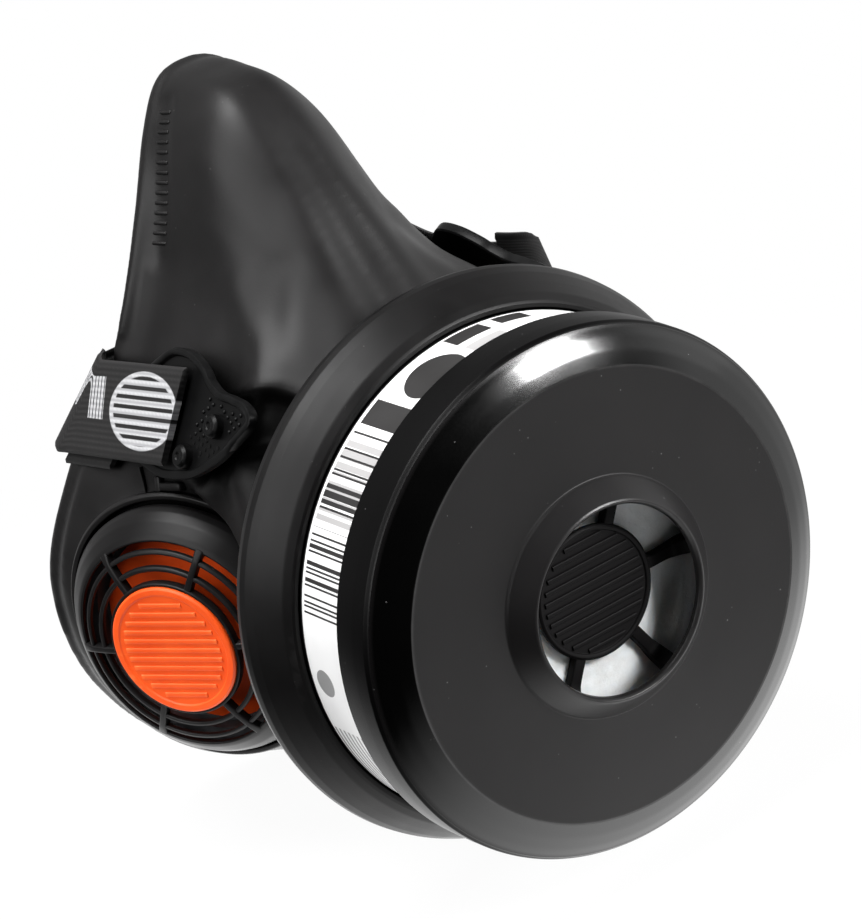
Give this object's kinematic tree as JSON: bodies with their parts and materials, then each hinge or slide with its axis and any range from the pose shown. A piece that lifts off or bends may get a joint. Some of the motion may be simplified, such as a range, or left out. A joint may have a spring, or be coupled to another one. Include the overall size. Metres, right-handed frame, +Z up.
{
  "type": "half-mask respirator",
  "caption": "Half-mask respirator: soft face piece, round screwless filter under a pre-filter cap, side exhalation valves with coloured badges and a folded neck strap.",
  "frame": {"origin": "on the filter's axis, on the seat plane inside the filter mount", "axes": "-Y points out of the filter along its axis, +Z is up towards the nose, +X runs across to the wearer's left (the viewer's right in a front view)"},
  "size_m": [0.13, 0.1377, 0.1645],
  "materials": {
    "soft_black": "matt thermoplastic rubber with a fine grain",
    "mount_rubber": "matt moulded rubber",
    "case_black": "satin moulded plastic",
    "cap_black": "fine matt face with a glossy bevel",
    "grille_black": "satin moulded plastic",
    "inner_black": "plain moulded plastic",
    "badge_orange": "matt moulded badge with raised rings",
    "membrane_orange": "soft silicone",
    "filter_paper": "pleated filter paper",
    "prefilter_felt": "white felt",
    "label_print": "printed film",
    "seal_glue": "potting compound",
    "gasket_grey": "foam rubber",
    "webbing_black": "ribbed elastic webbing",
    "yoke_black": "satin moulded plastic"
  },
  "bodies": {
    "face": {"face_piece": "soft_black", "filter_mount": "mount_rubber", "mount_clamp_ring": "inner_black", "inhalation_seat": "inner_black", "valve_body_left": "inner_black", "valve_body_right": "inner_black", "yoke_left": "yoke_black", "yoke_right": "yoke_black", "yoke_studs": "inner_black", "neck_strap": "webbing_black"},
    "filter": {"filter_gasket": "gasket_grey", "filter_case_rear": "case_black", "filter_outlet_grid": "inner_black", "pleated_media": "filter_paper", "media_frame": "seal_glue", "filter_case_front": "case_black", "filter_label": "label_print"},
    "cap": {"prefilter_cap": "cap_black", "prefilter_pad": "prefilter_felt"},
    "inhalation_flap": {"inhalation_membrane": "membrane_orange"},
    "exhalation_flap_left": {"exhalation_membrane_left": "membrane_orange"},
    "exhalation_flap_right": {"exhalation_membrane_right": "membrane_orange"},
    "cover_left": {"valve_cover_left": "grille_black", "valve_badge_left": "badge_orange"},
    "cover_right": {"valve_cover_right": "grille_black", "valve_badge_right": "badge_orange"},
    "slider": {"strap_slider": "yoke_black"}
  },
  "joints": [
    {"name": "filter_pull", "type": "slide", "parent": "face", "child": "filter", "axis": [0, -1, 0], "range_m": [0, 0.045]},
    {"name": "cap_pull", "type": "slide", "parent": "filter", "child": "cap", "axis": [0, -1, 0], "range_m": [0, 0.022]},
    {"name": "inhalation_lift", "type": "slide", "parent": "face", "child": "inhalation_flap", "axis": [0, 1, 0], "range_m": [0, 0.0012]},
    {"name": "exhalation_lift_left", "type": "slide", "parent": "face", "child": "exhalation_flap_left", "axis": [-0.8796, -0.4756, 0], "range_m": [0, 0.0011]},
    {"name": "exhalation_lift_right", "type": "slide", "parent": "face", "child": "exhalation_flap_right", "axis": [0.8796, -0.4756, 0], "range_m": [0, 0.0011]},
    {"name": "cover_pull_left", "type": "slide", "parent": "face", "child": "cover_left", "axis": [-0.8796, -0.4756, 0], "range_m": [0, 0.014]},
    {"name": "cover_pull_right", "type": "slide", "parent": "face", "child": "cover_right", "axis": [0.8796, -0.4756, 0], "range_m": [0, 0.014]},
    {"name": "slider_shift", "type": "slide", "parent": "face", "child": "slider", "axis": [1, 0, 0], "range_m": [-0.01, 0.004]}
  ]
}
